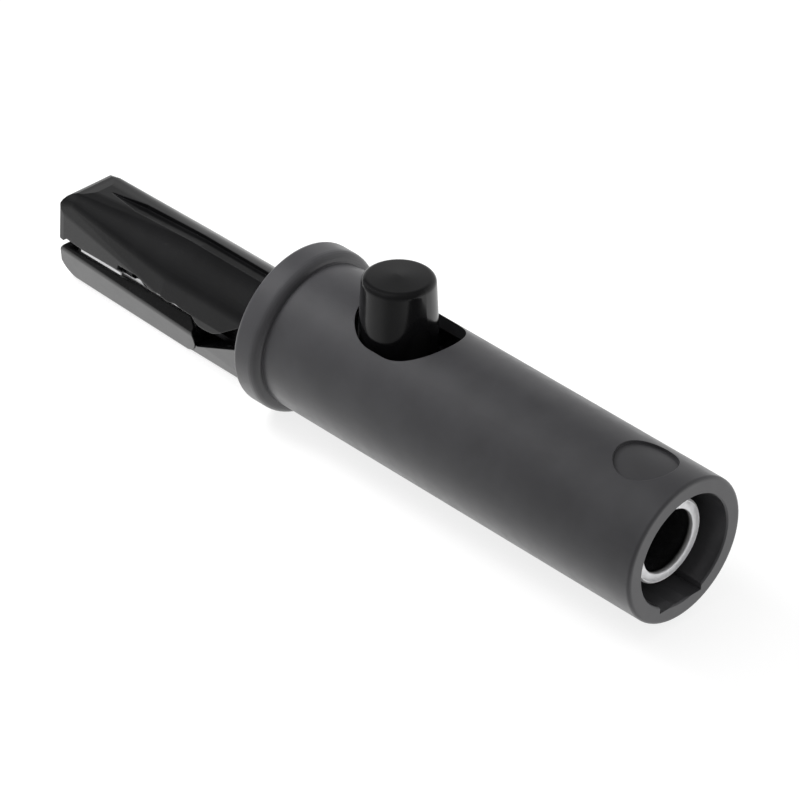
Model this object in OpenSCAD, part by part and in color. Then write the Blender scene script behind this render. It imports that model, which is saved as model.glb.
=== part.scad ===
// Insulated crocodile clip with a push button and a 4 mm safety socket.
// X runs along the tube: the socket's mouth is at x = 0 and the jaws point to -X.
// Z is up, through the button. The origin is on the tube's axis, at the rear face.

/* [Housing] */
// Outer diameter of the tube
tube_d = 12.2; // [11.9:0.1:13.5]
// Length of the tube, from the rear face to the front of the flange
tube_len = 40.9; // [40.2:0.1:44]
// Outer diameter of the finger flange
flange_d = 13.8; // [13.4:0.1:16]
// Width of the finger flange along the tube
flange_w = 2.55; // [2:0.05:4]
// Diameter of the rear bore, which takes a plug's shroud
shroud_bore_d = 9.34; // [8.9:0.02:9.6]
// Depth of the rear bore
shroud_depth = 22; // [20:0.1:23]
// Width of the flat keyway at the bottom of the rear bore
keyway_w = 4.54; // [3:0.02:5.2]
// Thickness of the web between the rear bore and the front chamber
web_t = 2.2; // [1.6:0.1:2.6]
// Diameter of the front chamber, which holds the jaw cartridge
chamber_d = 10.4; // [10.2:0.05:10.8]
// Width of the button's slot
slot_w = 7.5; // [7.3:0.05:8]
// Length of the button's slot
slot_len = 8.9; // [8.7:0.1:9.6]
// Diameter of the plain round recess on top, near the rear
badge_d = 4.95; // [3:0.05:6]
// Depth of the plain round recess
badge_depth = 0.25; // [0.1:0.05:0.3]
// Distance from the rear face to the middle of the round recess
badge_back = 4.45; // [3.5:0.05:8]

/* [Contact sleeve] */
// Outer diameter of the contact sleeve
sleeve_d = 7.1; // [6.4:0.05:7.2]
// Distance from the rear face to the sleeve's mouth
sleeve_recess = 1.65; // [1.2:0.05:2.4]
// Diameter of the sleeve's counterbore
counterbore_d = 5.5; // [5.2:0.05:5.8]
// Depth of the counterbore, from the sleeve's mouth
counterbore_depth = 5.8; // [4:0.1:7]
// Diameter of the contact bore, for a 4 mm plug
contact_bore_d = 4.04; // [4.02:0.01:4.1]
// Length of the contact bore
contact_bore_len = 13; // [11:0.1:13.5]
// Diameter of the sleeve's spigot behind the web
spigot_d = 2.6; // [2:0.1:3.2]

/* [Jaws] */
// Length of the jaws in front of the flange
jaw_len = 24.2; // [23.4:0.1:26]
// Outer width of the insulated jaws at the tip
jaw_w = 5.9; // [5.7:0.05:6]
// Height of the upper jaw's top above the tube's axis, at the tip
nose_top = 1.7; // [1.5:0.05:2]
// Depth of the lower jaw's underside below the tube's axis
jaw_bottom = 6.85; // [6.7:0.05:6.9]
// Depth of the parting line between the toothed blades below the tube's axis
part_depth = 2.7; // [2.6:0.05:2.8]
// Outer width of the toothed blades
blade_w = 4.8; // [4.4:0.05:4.9]
// Wall of the lower cover in front of the blades
tip_wall = 1.8; // [1.2:0.1:2.4]
// Thickness of the blades' sheet
blade_t = 0.5; // [0.4:0.05:0.6]
// Pitch of the wavy teeth
tooth_pitch = 1.85; // [1.6:0.05:2]
// Number of teeth in a row
teeth = 3; // [2:1:4]
// Height of the teeth from valley to crest
tooth_h = 0.45; // [0.3:0.05:0.6]
// Width of the shallow groove along the top of the upper jaw
groove_w = 1.35; // [1:0.05:1.8]
// Depth of the groove on the arched part of the upper jaw
groove_depth = 0.35; // [0.2:0.05:0.5]

/* [Hinge and button] */
// Distance from the flange's front face back to the pivot
pivot_back = 2.4; // [2.2:0.1:3]
// Diameter of the pivot pin
pivot_d = 1.6; // [1.4:0.05:1.8]
// Diameter of the button near its top
button_d = 5.82; // [5.4:0.02:6]
// Height of the button's top above the tube's axis
button_top = 9.54; // [9:0.02:9.9]
// Draft angle of the button's side
button_draft = 2.5; // [1:0.1:2.8]
// Angle by which the released button leans towards the jaws
button_lean = 3.2; // [0:0.1:4]
// Wire diameter of the return spring
wire_d = 0.35; // [0.3:0.01:0.4]
// Number of turns of the return spring
spring_turns = 4.5; // [4:0.5:5]

/* [Fits] */
// Clearance of the hinge eye on the pivot pin, on the radius
hinge_fit = 0.05; // [0.03:0.01:0.08]
// Side clearance between the lever and the carrier's cheeks
side_gap = 0.12; // [0.1:0.01:0.2]
// Clearance round pieces that are pushed or dropped into each other
seat_gap = 0.05; // [0.03:0.01:0.08]
// Clearance between the button and the slot's front end
button_gap = 0.1; // [0.1:0.05:0.3]

/* [Hidden] */

// Facets of exact round parts, of rounded hulls and of arcs in outlines
round_fn = 96;
hull_fn = 32;
arc_n = 6;
// A little extra for cuts that run past a face
past = 1;

// Places along the tube
web_rear = -shroud_depth;
web_front = web_rear - web_t;
flange_front = -tube_len;
flange_root = flange_front + flange_w;
pivot_x = flange_front + pivot_back;
tip_x = flange_front - jaw_len;
slot_rear = web_front - 0.1;
slot_front = slot_rear - slot_len;

// Housing
tube_r = tube_d / 2;
flange_r = flange_d / 2;
chamber_r = chamber_d / 2;
rear_edge_r = 0.3;
flange_rear_edge_r = 0.8;
flange_front_edge_r = 0.4;
mouth_bevel = 0.12;

// Carrier inside the chamber
carrier_r = chamber_r - 2 * seat_gap;
lever_w = jaw_w;
cavity_w = lever_w + 2 * side_gap;
floor_z = -(chamber_r - 0.6);
strip_t = 0.3;
tail_w = 2.4;
step_z = floor_z + blade_t;
carrier_rear = web_front - strip_t - 0.5;
strip_lap = 2.6;
step_x = pivot_x + strip_lap;
cheek_top = 1.7;
cheek_front = flange_front + 0.7;
cheek_rear_top = -1.6;
cheek_slope_x = pivot_x + 2.2;
cheek_slope_foot_x = cheek_slope_x + 2;

// Neck of the carrier, in front of the flange
neck_front = tip_x + 13.8;
neck_w = 8;
neck_bottom = -6.6;
neck_lean = 20;
trough_w = 4.4;
ledge_front_z = -5.57;
ledge_rear_z = -1.1;

// Jaw covers and blades
lower_tip_x = tip_x + 0.25;
lower_nose_x = lower_tip_x - 0.4;
lower_rear_x = tip_x + 15.65;
blade_tip_x = lower_tip_x + tip_wall;
blade_rear_x = tip_x + 15.4;
blade_z = -part_depth;
blade_play = 0.08;
plate_top_z = -0.4;
rim_front_z = blade_z - 0.4;
rim_rear_z = blade_z - 0.35;
rim_step_x = tip_x + 7.3;
bevel_front_z = rim_front_z - 0.1;
bevel_rear_z = rim_front_z - 0.95;
bevel_lean = 65;
cover_rise = 0.13;
cover_lean = 22;
keel_side_r = 1.3;
keel_edge_r = 0.25;
bend_r = 0.8;
tooth_start_x = blade_rear_x - 1.3 - teeth * tooth_pitch;

// Arch of the upper jaw behind its nose
arch_r = 4;
arch_z = -1.59;
arch_side_r = 2;
arch_foot_z = -1.5;
arch_x = tip_x + 13.1;
nose_edge_r = 1.15;
nose_tip_edge_r = 1.9;
nose_r = 1.6;
nose_corner_r = 0.35;
arch_rear = flange_front - 0.15;
groove_tip_x = tip_x + 3.3;
groove_full_x = groove_tip_x + 3.4;
notch_front_x = tip_x + 7.7;
notch_rear_x = tip_x + 11.1;
stud_w = 2.9;
stud_z = blade_z + 0.25;

// Rivets
rivet_r = 0.6;
rivet_head_r = 1;
rivet_head_t = 0.4;
upper_rivets_x = [blade_rear_x - 10.5, blade_rear_x - 2];
lower_rivet_x = blade_rear_x - 2.4;

// Hinge: the carrier's cheeks are flat where the pin's head still fits inside the chamber
pin_r = pivot_d / 2;
eye_r = 1.8;
pin_head_r = 1.3;
pin_head_t = 0.4;
pin_clear = 0.35;
cheek_flat = sqrt(chamber_r * chamber_r - pin_head_r * pin_head_r) - pin_head_t - pin_clear;

// Lever arm, button and spring
button_r = button_d / 2;
button_x = slot_front + button_gap + button_r + 0.15;
arm_rear = button_x + 2.9;
arm_w = 4.6;
arm_rise_low = 1;
arm_rise_high = 3.3;
post_r = 1.9;
post_top = button_top - 2.4;
button_base = 3.5;
collar_r = 2.5;
button_edge_r = 0.5;
button_dome = 0.12;
spring_foot_z = step_z + strip_t;
spring_head_z = 1;
spring_r = 1.45;
boss_r = 1;
boss_h = 1.1;
pad_r = 2.2;

// Points of an arc about (cx, cy), from angle a0 to a1
function arc(cx, cy, r, a0, a1, n = arc_n) =
    [for (i = [0 : n]) let (a = a0 + (a1 - a0) * i / n) [cx + r * cos(a), cy + r * sin(a)]];

// Wavy tooth line: points along x from tooth_start_x, raised by lift
function tooth_line(lift) =
    let (steps = teeth * 8)
    [for (i = [0 : steps])
        [tooth_start_x + i * tooth_pitch / 8,
         blade_z + lift + tooth_h / 2 * sin(360 * i / 8)]];

// Half of a keel-shaped section: down the side, round its widest part, in to the flat bottom
function keel_side(half, widest_z, bottom, lean) =
    let (side_y = half - keel_side_r + keel_side_r * cos(lean),
        side_z = widest_z - keel_side_r * sin(lean),
        edge_z = bottom + keel_edge_r,
        edge_y = side_y + ((edge_z - side_z) * sin(lean) - keel_edge_r) / cos(lean))
    concat(
        [[half, 0]],
        arc(half - keel_side_r, widest_z, keel_side_r, 0, -lean),
        arc(edge_y, edge_z, keel_edge_r, -lean, -90));

// Turned piece: points are [radius, x]
module turned(points) {
    rotate([0, 90, 0]) rotate_extrude($fn = round_fn) polygon(points);
}

// Round bar or hole along X, from x0 to x1
module bar_x(r, x0, x1) {
    translate([x0, 0, 0]) rotate([0, 90, 0]) cylinder(r = r, h = x1 - x0, $fn = round_fn);
}

// Round bar or hole across the tube, from y0 to y1
module bar_y(r, y0, y1) {
    translate([0, y1, 0]) rotate([90, 0, 0]) cylinder(r = r, h = y1 - y0, $fn = round_fn);
}

// Side outline of [x, z] points, extruded to a width about the XZ plane
module across(points, width) {
    translate([0, width / 2, 0]) rotate([90, 0, 0]) linear_extrude(width) polygon(points);
}

// Block between two corners
module block(low, high) {
    translate(low) cube(high - low);
}

// Bar along X with a rounded lower corner on each side
module round_bottom_bar(x0, x1, width, bottom, top, r) {
    across_section = concat(
        [[-width / 2, top]],
        arc(-width / 2 + r, bottom + r, r, 180, 270),
        arc(width / 2 - r, bottom + r, r, 270, 360),
        [[width / 2, top]]);
    translate([x0, 0, 0]) rotate([90, 0, 90]) linear_extrude(x1 - x0) polygon(across_section);
}

// Bar along X with a keel-shaped section, narrower towards its flat bottom
module keel_bar(x0, x1, half, widest_z, bottom, lean) {
    side = keel_side(half, widest_z, bottom, lean);
    last = len(side) - 1;
    other_side = [for (i = [0 : last]) [-side[last - i].x, side[last - i].y]];
    translate([x0, 0, 0]) rotate([90, 0, 90]) linear_extrude(x1 - x0)
        polygon(concat(side, other_side));
}

// Stadium-shaped column, for the button's slot
module stadium(x0, x1, width, z0, z1) {
    r = width / 2;
    for (x = [x0 + r, x1 - r])
        translate([x, 0, z0]) cylinder(r = r, h = z1 - z0, $fn = round_fn);
    block([x0 + r, -r, z0], [x1 - r, r, z1]);
}

// Places children on the button's leaning axis, with z measured from the tube's axis
module at_button() {
    translate([button_x, 0, tube_r]) rotate([0, -button_lean, 0]) translate([0, 0, -tube_r])
        children();
}

// Grey moulded tube with finger flange, slot, web, shroud bore and keyway
module housing_tube() {
    color("#4d4f52") difference() {
        turned(concat(
            [[0, 0]],
            arc(tube_r - rear_edge_r, -rear_edge_r, rear_edge_r, 90, 0),
            [[tube_r, flange_root]],
            arc(flange_r - flange_rear_edge_r, flange_root - flange_rear_edge_r,
                flange_rear_edge_r, 90, 0),
            arc(flange_r - flange_front_edge_r, flange_front + flange_front_edge_r,
                flange_front_edge_r, 0, -90),
            [[0, flange_front]]));
        bar_x(shroud_bore_d / 2, web_rear, past);
        turned([
            [0, -mouth_bevel],
            [shroud_bore_d / 2, -mouth_bevel],
            [shroud_bore_d / 2 + mouth_bevel, 0],
            [shroud_bore_d / 2 + mouth_bevel, past],
            [0, past]]);
        block([web_rear, -keyway_w / 2, -shroud_bore_d / 2 + 0.05],
              [past, keyway_w / 2, 0]);
        bar_x(sleeve_d / 2 - 1.2 + seat_gap, web_front - past, web_rear + past);
        bar_x(chamber_r, flange_front - past, web_front);
        stadium(slot_front, slot_rear, slot_w, 0, tube_d);
        difference() {
            translate([-badge_back, 0, 0])
                cylinder(r = badge_d / 2, h = tube_d, $fn = round_fn);
            bar_x(tube_r - badge_depth, -2 * badge_back - badge_d, past);
        }
    }
}

// Turned sleeve: free in the shroud bore, seated in the web, with a spigot in front of it
module contact_sleeve() {
    sleeve_r = sleeve_d / 2;
    mouth = -sleeve_recess;
    bevel = counterbore_d / 2 + 0.25;
    bore_mouth = mouth - counterbore_depth;
    bore_end = bore_mouth - contact_bore_len;
    spigot_end = web_front - strip_t - 1;
    color("#d8d9dc") turned([
        [0, spigot_end],
        [spigot_d / 2, spigot_end],
        [spigot_d / 2, web_front],
        [sleeve_r - 1.2, web_front],
        [sleeve_r - 1.2, web_rear],
        [sleeve_r, web_rear],
        [sleeve_r, mouth - 0.15],
        [sleeve_r - 0.15, mouth],
        [bevel, mouth],
        [counterbore_d / 2, mouth - 0.5],
        [counterbore_d / 2, bore_mouth],
        [contact_bore_d / 2, bore_mouth],
        [contact_bore_d / 2, bore_end],
        [0, bore_end]]);
}

// Push-on ring in front of the strip's tab
module sleeve_lock_ring() {
    ring_rear = web_front - strip_t;
    color("#9a9ca0") turned([
        [spigot_d / 2, ring_rear - 0.4],
        [spigot_d / 2 + 0.9, ring_rear - 0.4],
        [spigot_d / 2 + 0.9, ring_rear],
        [spigot_d / 2, ring_rear]]);
}

// Strip from the sleeve's spigot down and forward to the lower blade's tail
module contact_strip() {
    tab_r = spigot_d / 2 + 0.9;
    color("#c9a24a") difference() {
        union() {
            block([pivot_x - strip_lap, -tail_w / 2, step_z],
                  [web_front, tail_w / 2, step_z + strip_t]);
            translate([button_x, 0, step_z]) cylinder(r = pad_r, h = strip_t, $fn = round_fn);
            block([web_front - strip_t, -tail_w / 2, step_z], [web_front, tail_w / 2, 0]);
            bar_x(tab_r, web_front - strip_t, web_front);
        }
        bar_x(spigot_d / 2, web_front - past, web_front + past);
        translate([button_x, 0, step_z - past])
            cylinder(r = boss_r + seat_gap, h = 2 * past, $fn = round_fn);
        translate([pivot_x, 0, step_z - past]) cylinder(r = rivet_r, h = 2 * past, $fn = round_fn);
    }
}

// Rivet with its head at the top or the bottom, standing on z = 0
module rivet(length) {
    cylinder(r = rivet_r, h = length, $fn = round_fn);
    translate([0, 0, length]) cylinder(r1 = rivet_head_r, r2 = rivet_head_r - 0.3,
        h = rivet_head_t, $fn = round_fn);
}

// Rivet through the contact strip and the lower blade's tail
module strip_rivet() {
    color("#c9a24a") translate([pivot_x, 0, floor_z]) rivet(blade_t + strip_t);
}

// Carrier: neck in front of the flange, open trough with cheeks inside the tube
module jaw_carrier() {
    color("#1c1c1e") difference() {
        union() {
            intersection() {
                bar_x(carrier_r, flange_front, carrier_rear);
                across([
                    [flange_front, -carrier_r],
                    [carrier_rear, -carrier_r],
                    [carrier_rear, cheek_rear_top],
                    [cheek_slope_foot_x, cheek_rear_top],
                    [cheek_slope_x, cheek_top],
                    [cheek_front, cheek_top],
                    [cheek_front, ledge_rear_z],
                    [flange_front, ledge_rear_z]], 2 * carrier_r);
            }
            intersection() {
                hull() {
                    keel_bar(flange_front - 0.1, flange_front, neck_w / 2, ledge_rear_z,
                        neck_bottom, neck_lean);
                    keel_bar(neck_front, neck_front + 0.1, jaw_w / 2 - 0.1, bevel_rear_z,
                        -jaw_bottom + 0.1, cover_lean);
                }
                across([
                    [neck_front, -jaw_bottom - past],
                    [flange_front, -jaw_bottom - past],
                    [flange_front, ledge_rear_z],
                    [blade_rear_x + 0.4, ledge_front_z],
                    [neck_front, ledge_front_z]], 2 * neck_w);
            }
        }
        across(cover_outline(seat_gap), 2 * jaw_w);
        block([flange_front, -cavity_w / 2, floor_z],
              [step_x, cavity_w / 2, chamber_d]);
        block([step_x - past, -cavity_w / 2, step_z],
              [carrier_rear + past, cavity_w / 2, chamber_d]);
        block([neck_front - past, -trough_w / 2, floor_z],
              [flange_front, trough_w / 2, chamber_d]);
        block([flange_front - past, -tail_w / 2 - seat_gap, floor_z],
              [flange_front + past, tail_w / 2 + seat_gap, chamber_d]);
        translate([pivot_x, 0, 0]) {
            bar_y(pin_r, -chamber_d, chamber_d);
            bar_y(pin_head_r + 0.2, -chamber_d, -cheek_flat);
            bar_y(pin_head_r + 0.2, cheek_flat, chamber_d);
        }
    }
    color("#1c1c1e") translate([button_x, 0, step_z])
        cylinder(r = boss_r, h = strip_t + boss_h, $fn = round_fn);
}

// Lower blade: U-shaped channel with a tooth row on each wall, and a flat tail
module lower_jaw_blade() {
    color("#c6c8cc") difference() {
        union() {
            difference() {
                intersection() {
                    across(concat(
                        [[blade_rear_x, floor_z], [blade_tip_x, floor_z],
                         [blade_tip_x, blade_z]],
                        tooth_line(0),
                        [[blade_rear_x, blade_z]]), blade_w);
                    round_bottom_bar(blade_tip_x - past, blade_rear_x + past, blade_w, floor_z,
                        0, bend_r);
                }
                round_bottom_bar(blade_tip_x - past, blade_rear_x + past,
                    blade_w - 2 * blade_t, floor_z + blade_t, 0, bend_r - blade_t);
            }
            block([blade_rear_x - past, -tail_w / 2, floor_z],
                  [step_x - 0.1, tail_w / 2, floor_z + blade_t]);
        }
        translate([pivot_x, 0, floor_z - past]) cylinder(r = rivet_r, h = 2 * past, $fn = round_fn);
        translate([lower_rivet_x, 0, floor_z - past])
            cylinder(r = rivet_r, h = 2 * past, $fn = round_fn);
    }
}

// Side outline of the lower cover, grown by gap, with a rounded tip and a rounded rear end
function cover_outline(gap) =
    let (tip_r = 1.6, rear_r = 2)
    concat(
        [[lower_tip_x + 0.4, rim_front_z], [lower_tip_x + 0.15 - gap, rim_front_z - 0.4]],
        arc(lower_nose_x + tip_r, -jaw_bottom + cover_rise + tip_r, tip_r + gap, 180, 270),
        arc(lower_rear_x - rear_r, -jaw_bottom + rear_r, rear_r + gap, 270, 360),
        [[lower_rear_x + gap, rim_rear_z - 0.6], [lower_rear_x - 0.6, rim_rear_z],
         [rim_step_x + 0.2, rim_rear_z], [rim_step_x - 0.2, rim_front_z]]);

// Lower cover: tray round the blade, beveled along its rim
module lower_jaw_cover() {
    color("#1c1c1e") difference() {
        intersection() {
            across(cover_outline(0), jaw_w);
            hull() {
                keel_bar(lower_nose_x, lower_tip_x, jaw_w / 2, bevel_front_z,
                    -jaw_bottom + cover_rise, cover_lean);
                keel_bar(lower_rear_x - 0.1, lower_rear_x, jaw_w / 2, bevel_rear_z,
                    -jaw_bottom, cover_lean);
            }
            cover_plan();
        }
        for (side = [-1, 1]) rim_bevel(side);
        round_bottom_bar(blade_tip_x - seat_gap, blade_rear_x + past, blade_w + 2 * seat_gap,
            floor_z, 0, bend_r + seat_gap);
        translate([lower_rivet_x, 0, -jaw_bottom - past])
            cylinder(r = rivet_head_r + seat_gap, h = past + rivet_head_t, $fn = round_fn);
        translate([lower_rivet_x, 0, -jaw_bottom - past])
            cylinder(r = rivet_r, h = jaw_bottom, $fn = round_fn);
    }
}

// Plan shape that rounds the front corners of the lower cover
module cover_plan() {
    half = jaw_w / 2;
    r = 0.45;
    points = concat(
        arc(lower_nose_x + r, -half + r, r, 180, 270),
        [[lower_rear_x + past, -half], [lower_rear_x + past, half]],
        arc(lower_nose_x + r, half - r, r, 90, 180));
    translate([0, 0, -jaw_bottom - past]) linear_extrude(jaw_bottom) polygon(points);
}

// Cut that bevels the lower cover's rim, more and more towards the rear
module rim_bevel(side) {
    fall = atan((bevel_front_z - bevel_rear_z) / (lower_rear_x - lower_tip_x));
    reach = 20;
    translate([lower_rear_x, side * jaw_w / 2, bevel_rear_z])
        rotate([0, fall, 0]) rotate([-side * bevel_lean, 0, 0])
            block([-reach, -jaw_w / 2, 0], [reach, jaw_w / 2, jaw_w]);
}

// Rivet through the lower cover's floor and the blade, head in a recess underneath
module lower_cover_rivet() {
    color("#c6c8cc") translate([lower_rivet_x, 0, floor_z + blade_t])
        mirror([0, 0, 1]) rivet(jaw_bottom + floor_z + blade_t - rivet_head_t);
}

// Upper moulding: arched jaw cover with a groove on top, hinge eye, arm and button post
module upper_jaw_lever() {
    color("#1c1c1e") difference() {
        union() {
            intersection() {
                hull() {
                    round_top_bar(tip_x, tip_x + 0.1, jaw_w / 2 - 0.1, nose_top,
                        nose_tip_edge_r);
                    round_top_bar(tip_x + nose_r, tip_x + 2 * nose_r, jaw_w / 2 - 0.1, nose_top,
                        nose_edge_r);
                    translate([arch_x, 0, 0]) rotate([90, 0, 90])
                        linear_extrude(arch_rear - arch_x) polygon(arch_section());
                }
                across(jaw_outline(), 2 * arch_r);
                nose_plan();
            }
            translate([pivot_x, 0, 0]) bar_y(eye_r, -lever_w / 2, lever_w / 2);
            across([
                [arch_rear - past, -0.6],
                [pivot_x, -eye_r],
                [pivot_x, eye_r],
                [arch_rear - past, eye_r]], lever_w);
            across([
                [pivot_x, -1.2],
                [arm_rear, arm_rise_low],
                [arm_rear, arm_rise_high],
                [pivot_x, eye_r]], arm_w);
            at_button() {
                translate([0, 0, arm_rise_low + 1])
                    cylinder(r = collar_r, h = button_base - arm_rise_low - 1, $fn = round_fn);
                cylinder(r = post_r, h = post_top, $fn = round_fn);
            }
        }
        groove();
        block([blade_tip_x - seat_gap, -blade_w / 2 - seat_gap, -jaw_bottom],
              [blade_rear_x + 0.3 + seat_gap, blade_w / 2 + seat_gap, plate_top_z + seat_gap]);
        for (x = upper_rivets_x)
            translate([x, 0, -jaw_bottom]) cylinder(r = rivet_r, h = jaw_bottom + 0.6,
                $fn = round_fn);
        translate([pivot_x, 0, 0]) bar_y(pin_r + hinge_fit, -chamber_d, chamber_d);
        translate([button_x, 0, -chamber_r])
            cylinder(r = spring_r + 0.4, h = chamber_r + spring_head_z, $fn = round_fn);
    }
    color("#1c1c1e") blade_stud(0, plate_top_z + 2 * seat_gap);
}

// Stud behind the wire notch, which goes through the upper blade and locates it
module blade_stud(gap, top) {
    block([notch_front_x - gap, -stud_w / 2 - gap, stud_z],
          [notch_rear_x + gap, stud_w / 2 + gap, top]);
}

// Section of the upper jaw behind its nose: sides that lean in, shoulders and a wide arch
function arch_section() =
    let (side_a = 12, shoulder_a = 32, out = arch_r - arch_side_r,
        cy = out * cos(shoulder_a), cz = arch_z + out * sin(shoulder_a),
        foot_y = cy + arch_side_r * cos(side_a)
            + (cz + arch_side_r * sin(side_a) - arch_foot_z) * tan(side_a))
    concat(
        [[foot_y, -jaw_bottom], [foot_y, arch_foot_z]],
        arc(cy, cz, arch_side_r, side_a, shoulder_a, 4),
        arc(0, arch_z, arch_r, shoulder_a + 4, 176 - shoulder_a, 24),
        arc(-cy, cz, arch_side_r, 180 - shoulder_a, 180 - side_a, 4),
        [[-foot_y, arch_foot_z], [-foot_y, -jaw_bottom]]);

// Side outline of the upper jaw cover, with the hooked tip, wire notch, teeth and rear lobe
function jaw_outline() =
    let (lip_z = -2.65, edge_z = -2.3, edge_rear_z = -1.88, notch_z = -1.35,
        wave_z = -1.49, steps = 24)
    concat(
        [[tip_x, lip_z]],
        arc(tip_x + nose_r, nose_top - nose_r, nose_r, 180, 90),
        [[arch_x, nose_top + 2 * past], [arch_rear, nose_top + 2 * past],
         [arch_rear, 0.46], [tip_x + 23.1, 0.46], [tip_x + 21.6, -0.34],
         [tip_x + 19.7, -1.69], [tip_x + 19, -2.04], [tip_x + 18.1, -2.16],
         [tip_x + 17.4, -2.12], [tip_x + 17, -1.94], [tip_x + 16.6, -1.54]],
        [for (i = [0 : steps])
            [tip_x + 15.2 - (tip_x + 15.2 - notch_rear_x - 0.3) * i / steps,
             wave_z + 0.09 * sin(360 * 2 * i / steps)]],
        [[notch_rear_x, notch_z], [notch_rear_x - 1.2, -1.12], [notch_front_x, notch_z],
         [notch_front_x - 0.15, edge_rear_z], [tip_x + 3.2, edge_z], [tip_x + 1.1, edge_z],
         [tip_x + 0.7, lip_z]]);

// Length of the jaw from x0 to x1 with rounded upper corners of radius r
module round_top_bar(x0, x1, half, top, r) {
    section = concat(
        [[half, -jaw_bottom]],
        arc(half - r, top - r, r, 0, 90, 12),
        arc(r - half, top - r, r, 90, 180, 12),
        [[-half, -jaw_bottom]]);
    translate([x0, 0, 0]) rotate([90, 0, 90]) linear_extrude(x1 - x0) polygon(section);
}

// Plan shape that rounds the front corners of the upper jaw
module nose_plan() {
    half = jaw_w / 2 - 0.1;
    r = nose_corner_r;
    points = concat(
        arc(tip_x + r, -half + r, r, 180, 270),
        [[arch_x, -arch_r - past], [arch_rear, -arch_r - past]],
        [[arch_rear, arch_r + past], [arch_x, arch_r + past]],
        arc(tip_x + r, half - r, r, 90, 180));
    translate([0, 0, -jaw_bottom]) linear_extrude(jaw_bottom + tube_d) polygon(points);
}

// Shallow groove along the jaw's top, starting in a point behind the nose
module groove() {
    half = groove_w / 2;
    rear_z = arch_z + sqrt(arch_r * arch_r - half * half) - groove_depth;
    hull() {
        translate([groove_tip_x, 0, nose_top + 0.1]) cylinder(r = 0.05, h = past, $fn = hull_fn);
        translate([groove_full_x, 0, nose_top - 0.05]) cylinder(r = half, h = past, $fn = hull_fn);
        translate([arch_x, 0, rear_z]) cylinder(r = half, h = 2 * past, $fn = hull_fn);
    }
    block([arch_x, -half, rear_z], [arch_rear + past, half, rear_z + 2 * past]);
}

// Upper blade: channel with the mating tooth row, notched for a wire
module upper_jaw_blade() {
    notch_r = 1.2;
    color("#c6c8cc") difference() {
        across(concat(
            [[blade_rear_x, plate_top_z], [blade_tip_x, plate_top_z],
             [blade_tip_x, blade_z + blade_play]],
            tooth_line(blade_play),
            [[blade_rear_x, blade_z + blade_play]]), blade_w);
        block([blade_tip_x - past, -blade_w / 2 + blade_t, -jaw_bottom],
              [blade_rear_x + past, blade_w / 2 - blade_t, plate_top_z - blade_t]);
        translate([(notch_front_x + notch_rear_x) / 2, 0, blade_z])
            bar_y(notch_r, -jaw_w, jaw_w);
        blade_stud(seat_gap, 0);
        for (x = upper_rivets_x)
            translate([x, 0, -jaw_bottom]) cylinder(r = rivet_r, h = jaw_bottom, $fn = round_fn);
    }
}

// Rivets that hold the upper blade in its cover
module upper_blade_rivets() {
    color("#c6c8cc") for (x = upper_rivets_x)
        translate([x, 0, 0.6]) mirror([0, 0, 1]) rivet(0.6 + blade_t - plate_top_z);
}

// Tapered button cap with a rounded top edge and a hole for the post
module push_button() {
    foot_r = button_r + (button_top - button_base) * tan(button_draft);
    shoulder = button_top - button_edge_r - button_dome;
    points = concat(
        [[post_r, button_base], [foot_r, button_base]],
        arc(button_r - button_edge_r, shoulder, button_edge_r, 0, 90),
        [[0, button_top], [0, post_top], [post_r, post_top]]);
    color("#141416") at_button() rotate_extrude($fn = round_fn) polygon(points);
}

// Pivot pin with a flat head on its near side
module pivot_pin() {
    color("#b9bbbf") translate([pivot_x, 0, 0]) {
        bar_y(pin_r, -cheek_flat - pin_head_t, cheek_flat + pin_head_t);
        bar_y(pin_head_r, -cheek_flat - pin_head_t, -cheek_flat);
    }
}

// Push-on ring on the pin's far end
module pivot_pin_ring() {
    color("#9a9ca0") translate([pivot_x, 0, 0]) difference() {
        bar_y(pin_head_r, cheek_flat, cheek_flat + pin_head_t);
        bar_y(pin_r, cheek_flat - past, cheek_flat + past);
    }
}

// Coil spring under the lever arm: a wire swept along a helix
module return_spring() {
    ring = 8;
    steps = 24;
    n = spring_turns * steps;
    low = spring_foot_z + wire_d / 2;
    rise = spring_head_z - wire_d - spring_foot_z;
    points = [for (i = [0 : n], k = [0 : ring - 1])
        let (turn = 360 * i / steps, a = 360 * k / ring, r = spring_r + wire_d / 2 * cos(a))
        [r * cos(turn), r * sin(turn), low + rise * i / n + wire_d / 2 * sin(a)]];
    sides = [for (i = [0 : n - 1], k = [0 : ring - 1])
        let (next = (k + 1) % ring)
        [i * ring + k, i * ring + next, (i + 1) * ring + next, (i + 1) * ring + k]];
    first = [[for (k = [0 : ring - 1]) ring - 1 - k]];
    last = [[for (k = [0 : ring - 1]) n * ring + k]];
    color("#a9abb0") translate([button_x, 0, 0])
        polyhedron(points, concat(first, sides, last), convexity = 10);
}

housing_tube();
contact_sleeve();
sleeve_lock_ring();
contact_strip();
strip_rivet();
jaw_carrier();
lower_jaw_blade();
lower_jaw_cover();
lower_cover_rivet();
upper_jaw_lever();
upper_jaw_blade();
upper_blade_rivets();
push_button();
pivot_pin();
pivot_pin_ring();
return_spring();
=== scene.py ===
import math

import bmesh
import bpy
from mathutils import Matrix, Vector


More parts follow.
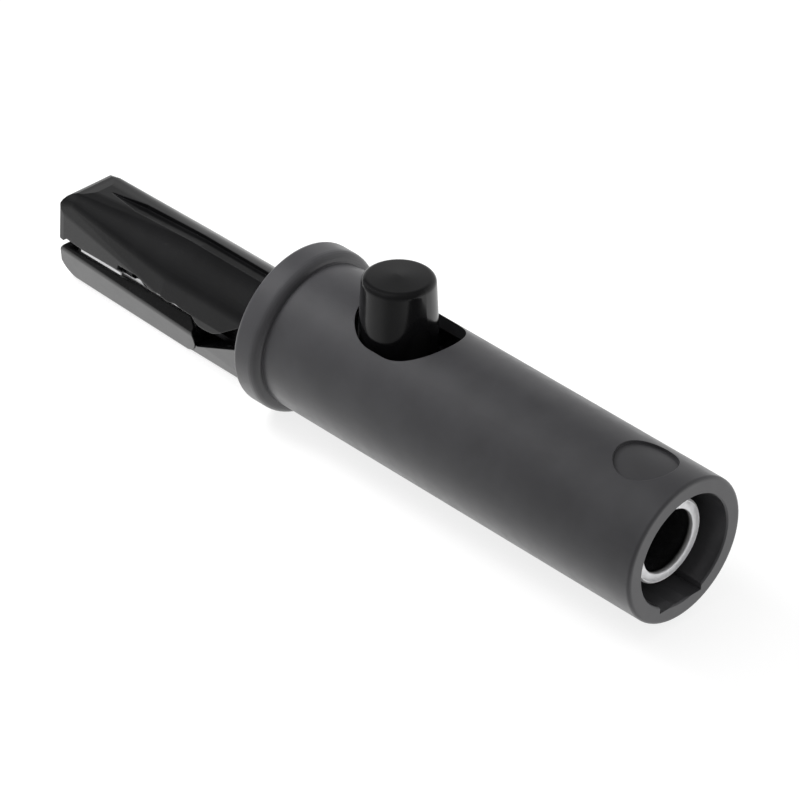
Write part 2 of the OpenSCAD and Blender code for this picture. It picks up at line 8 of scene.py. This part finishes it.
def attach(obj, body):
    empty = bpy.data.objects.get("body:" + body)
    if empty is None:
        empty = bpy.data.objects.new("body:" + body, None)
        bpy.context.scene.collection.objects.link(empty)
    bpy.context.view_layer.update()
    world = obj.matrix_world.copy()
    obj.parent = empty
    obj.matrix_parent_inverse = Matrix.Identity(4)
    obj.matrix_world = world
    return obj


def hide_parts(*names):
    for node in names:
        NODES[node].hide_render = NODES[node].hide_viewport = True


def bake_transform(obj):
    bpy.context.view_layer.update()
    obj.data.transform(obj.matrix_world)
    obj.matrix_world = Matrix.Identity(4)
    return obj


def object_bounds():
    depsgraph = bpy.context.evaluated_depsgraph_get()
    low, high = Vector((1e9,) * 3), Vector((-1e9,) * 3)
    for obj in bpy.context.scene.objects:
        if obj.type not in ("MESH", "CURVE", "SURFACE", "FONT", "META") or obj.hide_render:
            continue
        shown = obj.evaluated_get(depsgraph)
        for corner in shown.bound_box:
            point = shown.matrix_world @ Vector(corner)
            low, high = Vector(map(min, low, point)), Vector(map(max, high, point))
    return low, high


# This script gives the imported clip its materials, four small pieces, a floor, light and a camera
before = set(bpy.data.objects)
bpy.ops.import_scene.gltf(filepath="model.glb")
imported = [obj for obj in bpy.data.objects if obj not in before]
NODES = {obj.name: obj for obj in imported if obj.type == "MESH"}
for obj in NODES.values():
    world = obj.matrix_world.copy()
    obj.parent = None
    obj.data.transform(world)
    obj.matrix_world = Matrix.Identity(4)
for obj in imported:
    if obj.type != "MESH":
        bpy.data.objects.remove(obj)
CAD_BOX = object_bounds()

# A millimetre in the scene's metres
MM = 0.001


# Tools for nodes

# Places of the Mix node's two inputs and its result, for plain values and for colours
MIX_SOCKETS = {"FLOAT": (2, 3, 0), "RGBA": (6, 7, 2)}
# The part of its range from 0 to 1 that a noise value mostly lies in
NOISE_LOW, NOISE_HIGH = 0.35, 0.65
# Samples that the shader takes to round an edge
EDGE_SAMPLES = 6


def rgba(colour):
    """A colour with full opacity, from its red, green and blue or from one grey level."""
    if isinstance(colour, (int, float)):
        colour = (colour, colour, colour)
    return (*colour, 1)


class Maker:
    """Short calls for the nodes of a material or the world."""

    def __init__(self, owner, output, coordinates):
        owner.use_nodes = True
        self.tree = owner.node_tree
        self.tree.nodes.clear()
        self.out = self.node(output)
        self.where = self.node("ShaderNodeTexCoord").outputs[coordinates]

    def node(self, kind, **settings):
        """A new node with some of its own settings."""
        made = self.tree.nodes.new(kind)
        for key, value in settings.items():
            setattr(made, key, value)
        return made

    def link(self, output, socket):
        self.tree.links.new(output, socket)

    def put(self, value, socket):
        """Links an output to the socket, or sets a plain value on it."""
        if isinstance(value, bpy.types.NodeSocket):
            self.link(value, socket)
        else:
            socket.default_value = value

    def noise(self, size, detail, stretch=(1, 1, 1)):
        """Noise with features about size metres across, longer along an axis whose stretch is below 1."""
        place = self.node("ShaderNodeMapping")
        self.put(self.where, place.inputs["Vector"])
        self.put(tuple(share / size for share in stretch), place.inputs["Scale"])
        noise = self.node("ShaderNodeTexNoise")
        self.put(place.outputs["Vector"], noise.inputs["Vector"])
        self.put(1.0, noise.inputs["Scale"])
        self.put(detail, noise.inputs["Detail"])
        return noise.outputs["Fac"]

    def span(self, value, low, high, start=NOISE_LOW, end=NOISE_HIGH, curve="LINEAR"):
        """Maps a value between start and end to the range from low to high."""
        mapped = self.node("ShaderNodeMapRange", interpolation_type=curve)
        self.put(value, mapped.inputs["Value"])
        self.put(start, mapped.inputs["From Min"])
        self.put(end, mapped.inputs["From Max"])
        self.put(low, mapped.inputs["To Min"])
        self.put(high, mapped.inputs["To Max"])
        return mapped.outputs["Result"]

    def fade(self, value, none, full):
        """Smooth step: 0 where the value is none, and 1 where it is full."""
        return self.span(value, 0, 1, none, full, curve="SMOOTHSTEP")

    def mix(self, factor, first, second, kind="RGBA"):
        """Mixes two colours, or two plain values, each of them an output or a number."""
        first_place, second_place, result_place = MIX_SOCKETS[kind]
        mixed = self.node("ShaderNodeMix", data_type=kind)
        self.put(factor, mixed.inputs[0])
        self.put(first, mixed.inputs[first_place])
        self.put(second, mixed.inputs[second_place])
        return mixed.outputs[result_place]

    def maths(self, operation, first, second):
        """Result of a Math node."""
        made = self.node("ShaderNodeMath", operation=operation)
        self.put(first, made.inputs[0])
        self.put(second, made.inputs[1])
        return made.outputs["Value"]

    def axis(self, name):
        """One coordinate: of the surface's point in the part's frame, or of the world's direction."""
        split = self.node("ShaderNodeSeparateXYZ")
        self.put(self.where, split.inputs["Vector"])
        return split.outputs[name]

    def reach(self, place, plane):
        """Distance from place, measured along the axes that plane has as 1."""
        offset = self.node("ShaderNodeVectorMath", operation="SUBTRACT")
        self.put(self.where, offset.inputs[0])
        self.put(place, offset.inputs[1])
        flat = self.node("ShaderNodeVectorMath", operation="MULTIPLY")
        self.put(offset.outputs["Vector"], flat.inputs[0])
        self.put(plane, flat.inputs[1])
        length = self.node("ShaderNodeVectorMath", operation="LENGTH")
        self.put(flat.outputs["Vector"], length.inputs[0])
        return length.outputs["Value"]

    def soft_edges(self, radius):
        """A normal that rounds sharp edges by radius metres."""
        made = self.node("ShaderNodeBevel", samples=EDGE_SAMPLES)
        self.put(radius, made.inputs["Radius"])
        return made.outputs["Normal"]

    def bump(self, height, depth, below):
        """Bump of the given depth in metres, over another normal."""
        made = self.node("ShaderNodeBump")
        self.put(1.0, made.inputs["Strength"])
        self.put(depth, made.inputs["Distance"])
        self.put(height, made.inputs["Height"])
        self.put(below, made.inputs["Normal"])
        return made.outputs["Normal"]

    def principled(self, values):
        """Principled shader as the surface, from its sockets' names and their values."""
        shader = self.node("ShaderNodeBsdfPrincipled")
        for name, value in values.items():
            self.put(value, shader.inputs[name])
        self.link(shader.outputs["BSDF"], self.out.inputs["Surface"])


def new_material(name):
    """An empty material and the maker of its nodes."""
    material = bpy.data.materials.new(name)
    return material, Maker(material, "ShaderNodeOutputMaterial", "Object")


# Kinds of finish

# Sizes of the mottling and of the uneven gloss on plastic
PLASTIC_CLOUD, PLASTIC_GLOSS = 3 * MM, 1.1 * MM
# Sizes of the mottling and of the drawn or turned marks on metal
METAL_CLOUD, METAL_MARKS = 0.9 * MM, 0.12 * MM

# The plain round recess on top, whose floor is matt: everything above DISC_LOWEST within its radius
DISC_PLACE = (-0.00445, 0, 0)
DISC_RADIUS = 0.002475
DISC_LOWEST = 0.005
# The matt floor starts this far outside the recess's radius, and is full this far inside it
DISC_OUTSIDE, DISC_INSIDE = 0.03 * MM, 0.05 * MM
DISC_COLOURS = ((0.044, 0.0436, 0.0464), (0.050, 0.0496, 0.0528))
DISC_ROUGHNESS = 0.5

# Painted shade on metal: its dark colours where it lies in shade, and the width of the shade's border
# where a radius ends it
PAINTED_SHADE_COLOURS = ((0.02, 0.02, 0.021), (0.035, 0.035, 0.037))
PAINTED_SHADE_BORDER = 0.1 * MM


def inside_disc(make):
    """1 on the floor of the round recess on top."""
    distance = make.reach(DISC_PLACE, (1, 1, 0))
    near = make.fade(distance, DISC_RADIUS + DISC_OUTSIDE, DISC_RADIUS - DISC_INSIDE)
    above = make.maths("GREATER_THAN", make.axis("Z"), DISC_LOWEST)
    return make.maths("MULTIPLY", near, above)


def moulded(name, dark, light, roughness, grain, grain_depth, edge, ior=1.5, matt_disc=False):
    """Moulded plastic: faint mottling, spark-eroded grain and softened edges."""
    material, make = new_material(name)
    cloud = make.span(make.noise(PLASTIC_CLOUD, detail=4), 0, 1)
    colour = make.mix(cloud, rgba(dark), rgba(light))
    rough = make.span(make.noise(PLASTIC_GLOSS, detail=5), *roughness)
    if matt_disc:
        disc = inside_disc(make)
        colour = make.mix(disc, colour, make.mix(cloud, *map(rgba, DISC_COLOURS)))
        rough = make.mix(disc, rough, DISC_ROUGHNESS, kind="FLOAT")
    normal = make.bump(make.noise(grain, detail=2), grain_depth, make.soft_edges(edge))
    make.principled({"Base Color": colour, "Roughness": rough, "Normal": normal, "IOR": ior})
    return material


def plated(name, dark, light, roughness, edge, stretch=(1, 1, 1), marks=0.004 * MM, metallic=1.0,
           painted_shade=None, within=None):
    """Bright metal with softened edges, and marks that are longer along an axis whose stretch is below 1.

    marks is their depth. An axis and two places on it give painted shade: the metal goes from lit at the
    first place to darker, shaded, at the second. within is the radius about the tube's axis that the
    painted shade keeps to."""
    material, make = new_material(name)
    cloud = make.span(make.noise(METAL_CLOUD, detail=4), 0, 1)
    colour = make.mix(cloud, rgba(dark), rgba(light))
    # Painted shade: the metal darkens from its lit place to its shaded place, where it lies in shade
    if painted_shade:
        axis, lit_place, shaded_place = painted_shade
        shade_mask = make.fade(make.axis(axis), lit_place, shaded_place)
        if within:
            around = make.fade(make.reach((0, 0, 0), (0, 1, 1)), within + PAINTED_SHADE_BORDER, within)
            shade_mask = make.maths("MULTIPLY", shade_mask, around)
        colour = make.mix(shade_mask, colour, make.mix(cloud, *map(rgba, PAINTED_SHADE_COLOURS)))
    streak = make.noise(METAL_MARKS, detail=3, stretch=stretch)
    rough = make.span(streak, *roughness)
    normal = make.bump(streak, marks, make.soft_edges(edge))
    make.principled({"Base Color": colour, "Roughness": rough, "Normal": normal, "Metallic": metallic})
    return material


# Materials of the CAD nodes

grey_tube = moulded(
    "grey_moulding", dark=(0.0465, 0.0460, 0.0492), light=(0.0535, 0.0530, 0.0566),
    roughness=(0.28, 0.34), grain=0.3 * MM, grain_depth=0.0006 * MM, edge=0.08 * MM, matt_disc=True)
black_jaw = moulded(
    "black_moulding", dark=(0.0030, 0.0030, 0.0033), light=(0.0045, 0.0045, 0.0049),
    roughness=(0.15, 0.22), grain=0.4 * MM, grain_depth=0.0012 * MM, edge=0.1 * MM)
# Painted light: the jaw carrier is the jaws' black plastic made lighter, so that its neck and ledge, which
# get little light, look lit
neck_painted_light = moulded(
    "black_moulding_painted_light", dark=(0.010, 0.0100, 0.0106), light=(0.014, 0.0140, 0.0148),
    roughness=(0.17, 0.23), grain=0.3 * MM, grain_depth=0.0006 * MM, edge=0.1 * MM, ior=1.6)
black_button = moulded(
    "gloss_button", dark=(0.0035, 0.0035, 0.0038), light=(0.005, 0.005, 0.0054),
    roughness=(0.12, 0.18), grain=0.6 * MM, grain_depth=0.0012 * MM, edge=0.1 * MM, ior=1.42)

# The lower blade is bright along the front of the jaw, with painted shade behind, where it runs into the
# neck; the upper one is bright at the tips of its teeth, with painted shade above them, under the lever
LOWER_BLADE_SHADE = ("X", -0.0505, -0.0490)
UPPER_BLADE_SHADE = ("Z", -0.00278, -0.00264)
BLADE = {"dark": (0.72, 0.72, 0.73), "light": (0.82, 0.82, 0.83), "roughness": (0.24, 0.34),
         "stretch": (0.12, 1, 1), "edge": 0.06 * MM, "marks": 0.0015 * MM}
lower_steel = plated("plated_blade", **BLADE, painted_shade=LOWER_BLADE_SHADE)
upper_steel = plated("shaded_upper_blade", **BLADE, painted_shade=UPPER_BLADE_SHADE)

# The sleeve is bright at its mouth and outside, with painted shade in its bore, which lies within the
# radius
SLEEVE_BORE_SHADE = ("X", -0.00185, -0.00215)
SLEEVE_SHADE_RADIUS = 0.003
nickel = plated(
    "nickel_sleeve", dark=(0.80, 0.80, 0.81), light=(0.92, 0.92, 0.93), roughness=(0.45, 0.6),
    stretch=(1, 0.5, 0.5), edge=0.06 * MM, marks=0.05 * MM, metallic=0.5, painted_shade=SLEEVE_BORE_SHADE,
    within=SLEEVE_SHADE_RADIUS)
bronze = plated(
    "spring_bronze", dark=(0.50, 0.34, 0.15), light=(0.60, 0.42, 0.2), roughness=(0.25, 0.4),
    stretch=(0.1, 1, 1), edge=0.04 * MM)
spring_steel = plated(
    "bright_steel", dark=(0.46, 0.46, 0.47), light=(0.58, 0.58, 0.59), roughness=(0.22, 0.36),
    edge=0.04 * MM)

FINISHES = {
    "housing_tube": grey_tube,
    "contact_sleeve": nickel,
    "sleeve_lock_ring": spring_steel,
    "contact_strip": bronze,
    "strip_rivet": bronze,
    "jaw_carrier": neck_painted_light,
    "lower_jaw_blade": lower_steel,
    "lower_jaw_cover": black_jaw,
    "lower_cover_rivet": spring_steel,
    "upper_jaw_lever": black_jaw,
    "upper_jaw_blade": upper_steel,
    "upper_blade_rivets": spring_steel,
    "push_button": black_button,
    "pivot_pin": spring_steel,
    "pivot_pin_ring": spring_steel,
    "return_spring": spring_steel,
}
for node_name, finish in FINISHES.items():
    node_materials = NODES[node_name].data.materials
    node_materials.clear()
    node_materials.append(finish)


# Tools for pieces

def add_object(name, mesh, finish):
    """Puts a mesh in the scene with its material."""
    mesh.materials.append(finish)
    added = bpy.data.objects.new(name, mesh)
    bpy.context.scene.collection.objects.link(added)
    return added


def rounded_bar(name, low, high, edge, finish, segments=2):
    """Bar between two corners, with its edges rounded."""
    low, high = Vector(low), Vector(high)
    place = Matrix.Translation((low + high) / 2) @ Matrix.Diagonal((*(high - low), 1))
    shape = bmesh.new()
    bmesh.ops.create_cube(shape, size=1)
    bmesh.ops.transform(shape, matrix=place, verts=shape.verts)
    bmesh.ops.bevel(shape, geom=shape.edges[:], offset=edge, segments=segments, affect="EDGES")
    mesh = bpy.data.meshes.new(name)
    shape.to_mesh(mesh)
    shape.free()
    return add_object(name, mesh, finish)


def faces_between_rows(rows, per_row, closed):
    """Four-sided faces between rows of points, each row a ring; closed joins the last row to the first."""
    faces = []
    for row in range(rows if closed else rows - 1):
        here, ahead = row * per_row, (row + 1) % rows * per_row
        for i in range(per_row):
            j = (i + 1) % per_row
            faces.append((here + i, here + j, ahead + j, ahead + i))
    return faces


def outward_mesh(name, points, faces):
    """Closed mesh whose faces look outwards, smooth apart from end caps, which have more than 4 sides."""
    mesh = bpy.data.meshes.new(name)
    mesh.from_pydata(points, [], faces)
    shape = bmesh.new()
    shape.from_mesh(mesh)
    bmesh.ops.recalc_face_normals(shape, faces=shape.faces)
    for face in shape.faces:
        face.smooth = len(face.verts) == 4
    shape.to_mesh(mesh)
    shape.free()
    return mesh


def turned_ring(name, profile, finish, around=96):
    """Closed ring about the X axis, from the radius and x of each corner of its section."""
    angles = [2 * math.pi * k / around for k in range(around)]
    points = [(x, radius * math.cos(a), radius * math.sin(a)) for a in angles for radius, x in profile]
    faces = faces_between_rows(around, len(profile), closed=True)
    return add_object(name, outward_mesh(name, points, faces), finish)


def smooth(low, high, value):
    """Smooth step from 0 at low to 1 at high."""
    share = min(max((value - low) / (high - low), 0), 1)
    return share * share * (3 - 2 * share)


# Over this stretch from each end, in turns, a spring's pitch grows from closed to open
END_TURN = (0.4, 1.1)
# The closed pitch, in thicknesses of the wire
CLOSED_PITCH = 1.05


def coil_spring(name, place_x, foot, head, radius, wire, turns, finish, around=10, steps=32):
    """Upright spring with a smaller pitch near its ends, from the foot's height to the head's.

    around is the number of sides of its wire, and steps the number of straight pieces in a turn."""
    count = round(turns * steps)
    opened = [smooth(*END_TURN, (i + 0.5) / steps) * smooth(*END_TURN, turns - (i + 0.5) / steps)
              for i in range(count)]
    closed_step = wire * CLOSED_PITCH / steps
    open_step = (head - foot - wire - closed_step * count) / sum(opened)
    points = []
    height = foot + wire / 2
    for i in range(count + 1):
        turn = 2 * math.pi * i / steps
        for k in range(around):
            a = 2 * math.pi * k / around
            distance = radius + wire / 2 * math.cos(a)
            points.append((place_x + distance * math.cos(turn), distance * math.sin(turn),
                           height + wire / 2 * math.sin(a)))
        if i < count:
            height += closed_step + open_step * opened[i]
    first_cap = tuple(reversed(range(around)))
    last_cap = tuple(count * around + k for k in range(around))
    faces = [first_cap, last_cap, *faces_between_rows(count + 1, around, closed=False)]
    return add_object(name, outward_mesh(name, points, faces), finish)


# Pieces that this script adds

# Return spring, from its foot on the contact strip to its head at the lever
SPRING_X = -0.03004
SPRING_FOOT, SPRING_HEAD = -0.0038, 0.0010
SPRING_RADIUS, SPRING_WIRE, SPRING_TURNS = 1.45 * MM, 0.35 * MM, 4.5
spring = coil_spring("return_coil", SPRING_X, SPRING_FOOT, SPRING_HEAD, SPRING_RADIUS, SPRING_WIRE,
                     SPRING_TURNS, spring_steel)
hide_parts("return_spring")
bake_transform(spring)

# Rolled mouth of the contact sleeve: a broad flat face with a round inner edge, over its chamfer
MOUTH_X = -0.00164
MOUTH_INNER, MOUTH_OUTER = 0.00268, 0.00335
MOUTH_DEPTH = 0.6 * MM
MOUTH_CHAMFER = 0.05 * MM
MOUTH_EDGE = 0.09 * MM
MOUTH_EDGE_STEPS = 5
edge_angles = [math.pi / 2 * k / MOUTH_EDGE_STEPS for k in range(MOUTH_EDGE_STEPS + 1)]
inner_edge = [(MOUTH_INNER + MOUTH_EDGE * (1 - math.sin(a)), MOUTH_X - MOUTH_EDGE * (1 - math.cos(a)))
              for a in edge_angles]
mouth_profile = [(MOUTH_OUTER, MOUTH_X - MOUTH_CHAMFER), (MOUTH_OUTER - MOUTH_CHAMFER, MOUTH_X),
                 *inner_edge, (MOUTH_INNER, MOUTH_X - MOUTH_DEPTH), (MOUTH_OUTER, MOUTH_X - MOUTH_DEPTH)]
mouth = turned_ring("sleeve_rolled_mouth", mouth_profile, nickel)
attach(mouth, "housing")

# Folded lips of the lower blade, which lie on its cover's rim in front of the wire notch
LIP_FRONT, LIP_REAR = -0.0624, -0.0577
LIP_INNER, LIP_OUTER = 0.00240, 0.00286
LIP_BOTTOM, LIP_TOP = -0.00279, -0.00243
LIP_EDGE = 0.05 * MM
for side, name in ((-1, "lower_blade_lip_right"), (1, "lower_blade_lip_left")):
    low_y, high_y = sorted((side * LIP_INNER, side * LIP_OUTER))
    lip = rounded_bar(name, (LIP_FRONT, low_y, LIP_BOTTOM), (LIP_REAR, high_y, LIP_TOP), LIP_EDGE,
                      lower_steel)
    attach(lip, "housing")


# Floor

# The flange, which is the lowest form, touches the floor
FLOOR_Z = CAD_BOX[0][2]
FLOOR_HALF_WIDTH = 3.0


def studio_floor(name, bounce, shadow, glow):
    """Pale floor: the camera sees it white with a faint shadow, and it bounces light up to the part."""
    material, make = new_material(name)
    pale = make.node("ShaderNodeBsdfDiffuse")
    make.put(rgba(bounce), pale.inputs["Color"])
    shaded = make.node("ShaderNodeBsdfDiffuse")
    make.put(rgba(shadow), shaded.inputs["Color"])
    lit = make.node("ShaderNodeEmission")
    make.put(glow, lit.inputs["Strength"])
    backdrop = make.node("ShaderNodeAddShader")
    make.link(shaded.outputs["BSDF"], backdrop.inputs[0])
    make.link(lit.outputs["Emission"], backdrop.inputs[1])
    chosen = make.node("ShaderNodeMixShader")
    make.link(make.node("ShaderNodeLightPath").outputs["Is Camera Ray"], chosen.inputs["Fac"])
    make.link(pale.outputs["BSDF"], chosen.inputs[1])
    make.link(backdrop.outputs["Shader"], chosen.inputs[2])
    make.link(chosen.outputs["Shader"], make.out.inputs["Surface"])
    return material


floor_corners = [(x * FLOOR_HALF_WIDTH, y * FLOOR_HALF_WIDTH, FLOOR_Z)
                 for x, y in ((-1, -1), (1, -1), (1, 1), (-1, 1))]
floor_mesh = bpy.data.meshes.new("floor")
floor_mesh.from_pydata(floor_corners, [], [(0, 1, 2, 3)])
floor = add_object("floor", floor_mesh, studio_floor("pale_floor", bounce=0.75, shadow=0.30, glow=0.80))
# Gloss shows the tent's bright lower half in place of the floor
floor.visible_glossy = False


# Light

# Brightness of the tent round the tube's axis, in degrees: 0 is +Y, 90 is straight up
TENT_FRONT = [
    (-180, 0.29), (-166, 0.44), (-150, 0.66), (-135, 0.84), (-118, 1.15), (-88, 1.2), (-50, 0.64),
    (-30, 0.98), (-14, 0.96), (2, 0.58), (30, 0.52), (50, 0.20), (62, 0.10), (86, 0.22), (106, 0.38),
    (126, 0.38), (148, 0.26), (158, 0.17), (170, 0.24), (180, 0.29)]
# The same towards the plug's end, where the floor is bright and the rest is dark
TENT_REAR = [
    (-180, 0.15), (-150, 0.35), (-120, 0.8), (-85, 1.0), (-60, 1.1), (-20, 1.25), (20, 0.7),
    (60, 0.2), (110, 0.15), (180, 0.15)]
# Part of a direction along +X where the tent changes from its front to its rear
TENT_CHANGE = (-0.25, 0.35)
# Grey levels that matte surfaces and the camera get in place of the tent
PLAIN_LEVEL = 0.5
CAMERA_LEVEL = 1.0


def ring_ramp(make, angle, ring):
    """Colour ramp over an angle from 0 to 1 for a whole turn, from pairs of degrees and brightness."""
    ramp = make.node("ShaderNodeValToRGB")
    stops = ramp.color_ramp.elements
    # A new stop may start anywhere, because the next loop gives each its place
    while len(stops) < len(ring):
        stops.new(0.5)
    for stop, (degrees, _) in zip(stops, ring):
        stop.position = (degrees + 180) / 360
    for stop, (_, level) in zip(stops, ring):
        stop.color = rgba(level)
    make.link(angle, ramp.inputs["Fac"])
    return ramp.outputs["Color"]


def studio_world():
    """White for the camera, one plain level for matte surfaces, and the tent's rings for gloss."""
    world = bpy.data.worlds.new("studio")
    world.cycles.sampling_method = "NONE"
    make = Maker(world, "ShaderNodeOutputWorld", "Generated")
    radians = make.maths("ARCTAN2", make.axis("Z"), make.axis("Y"))
    angle = make.span(radians, 0, 1, -math.pi, math.pi)
    rearward = make.fade(make.axis("X"), *TENT_CHANGE)
    tent = make.mix(rearward, ring_ramp(make, angle, TENT_FRONT), ring_ramp(make, angle, TENT_REAR))
    path = make.node("ShaderNodeLightPath")
    unseen = make.mix(path.outputs["Is Glossy Ray"], rgba(PLAIN_LEVEL), tent)
    sky = make.node("ShaderNodeBackground")
    make.put(make.mix(path.outputs["Is Camera Ray"], unseen, rgba(CAMERA_LEVEL)), sky.inputs["Color"])
    make.link(sky.outputs["Background"], make.out.inputs["Surface"])
    return world


def softbox(name, place, aim, size, power):
    """Rectangular area lamp at place, aimed at a point, that neither gloss nor the camera shows."""
    data = bpy.data.lights.new(name, "AREA")
    data.shape = "RECTANGLE"
    data.size, data.size_y = size
    data.energy = power
    lamp = bpy.data.objects.new(name, data)
    lamp.location = place
    lamp.rotation_euler = (Vector(aim) - Vector(place)).to_track_quat("-Z", "Y").to_euler()
    lamp.visible_glossy = False
    lamp.visible_camera = False
    bpy.context.scene.collection.objects.link(lamp)


bpy.context.scene.world = studio_world()
# The point near the part's middle that the lamps are aimed at
MIDDLE = (-0.03, 0, 0)
softbox("top_softbox", place=(-0.20, -0.25, 0.60), aim=MIDDLE, size=(0.5, 0.4), power=1.2)
softbox("rear_softbox", place=(0.65, 0.30, 0.10), aim=MIDDLE, size=(0.4, 0.3), power=1.2)
softbox("front_softbox", place=(-0.07, -0.015, 0.045), aim=MIDDLE, size=(0.03, 0.03), power=0.032)


# Camera

# Its place and axes in the part's frame, from a fit to the tube's edges in the photograph
CAMERA_PLACE = (0.20895, -0.25762, 0.23876)
CAMERA_RIGHT = Vector((0.71208, 0.70066, 0.04482))
CAMERA_UP = Vector((-0.42300, 0.37719, 0.82389))
# Focal length and width of the sensor, which Blender takes in millimetres
CAMERA_LENS = 249.0
CAMERA_SENSOR = 36.0
# Nearest and farthest distance that it sees
CAMERA_NEAR, CAMERA_FAR = 0.01, 10.0

camera_data = bpy.data.cameras.new("camera")
camera_data.lens = CAMERA_LENS
camera_data.sensor_width = CAMERA_SENSOR
camera_data.clip_start = CAMERA_NEAR
camera_data.clip_end = CAMERA_FAR
camera = bpy.data.objects.new("camera", camera_data)
camera_axes = Matrix((CAMERA_RIGHT, CAMERA_UP, CAMERA_RIGHT.cross(CAMERA_UP))).transposed()
camera.matrix_world = Matrix.Translation(CAMERA_PLACE) @ camera_axes.to_4x4()
bpy.context.scene.collection.objects.link(camera)
bpy.context.scene.camera = camera

bpy.context.scene.view_settings.view_transform = "Standard"
